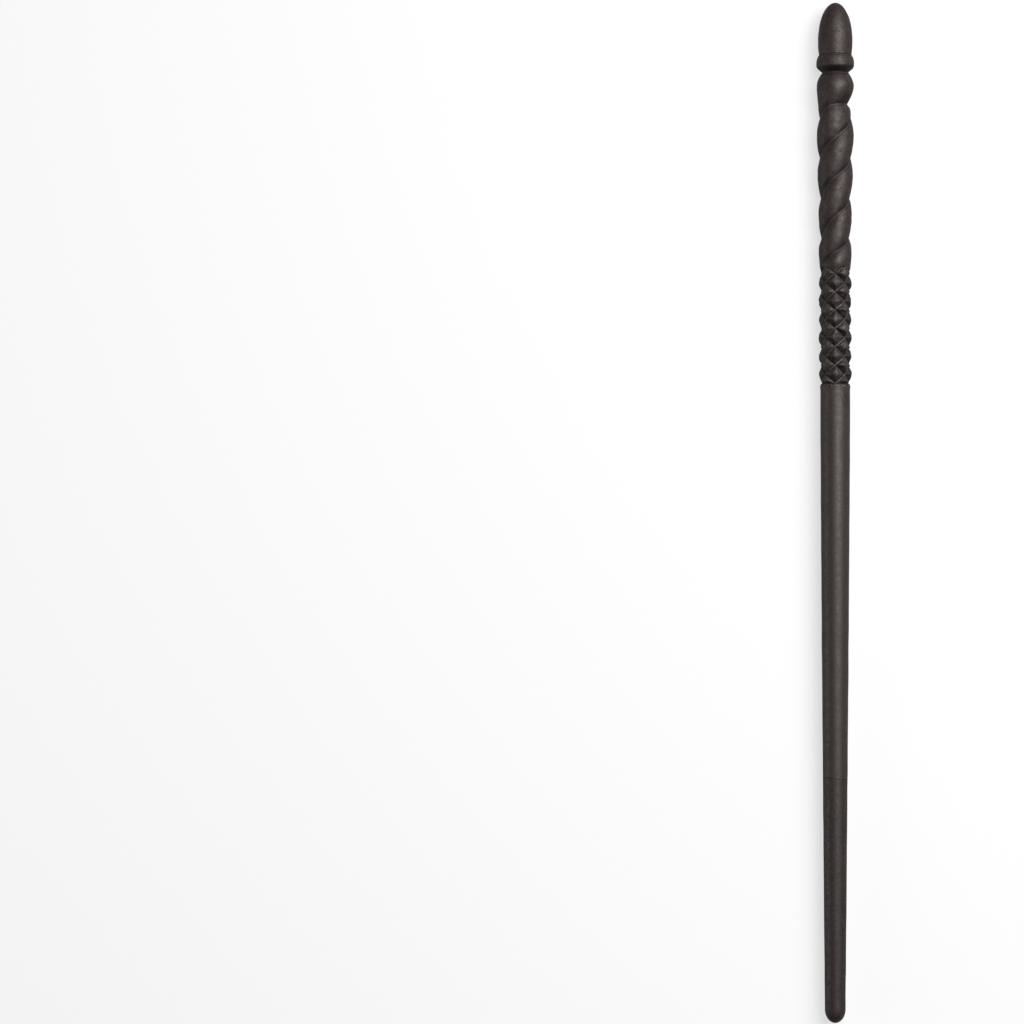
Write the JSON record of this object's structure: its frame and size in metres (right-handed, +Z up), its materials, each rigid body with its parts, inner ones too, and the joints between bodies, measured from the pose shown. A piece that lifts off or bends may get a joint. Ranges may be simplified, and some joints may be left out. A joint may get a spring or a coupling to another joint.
{
  "type": "magic wand",
  "caption": "Slim dark wand with a rounded pommel, collar and ball, a twisted two-strand grip, a band of pointed studs and a long tapered shaft.",
  "frame": {"origin": "middle of the wand's length, straight under its axis, on the surface that it lies on", "axes": "+Y along the wand towards the pommel, +Z up, away from the surface that it lies on"},
  "size_m": [0.0136, 0.368, 0.0135],
  "materials": {
    "handle_resin": "matte, dark grey-brown",
    "shaft_resin": "satin, dark grey-brown",
    "core_steel": "drawn rod"
  },
  "bodies": {
    "root": {"core_rod": "core_steel", "pommel_nose": "handle_resin", "pommel_collar": "handle_resin", "twist_grip": "handle_resin", "stud_band": "handle_resin", "shaft_upper": "shaft_resin", "shaft_lower": "shaft_resin"}
  },
  "joints": []
}
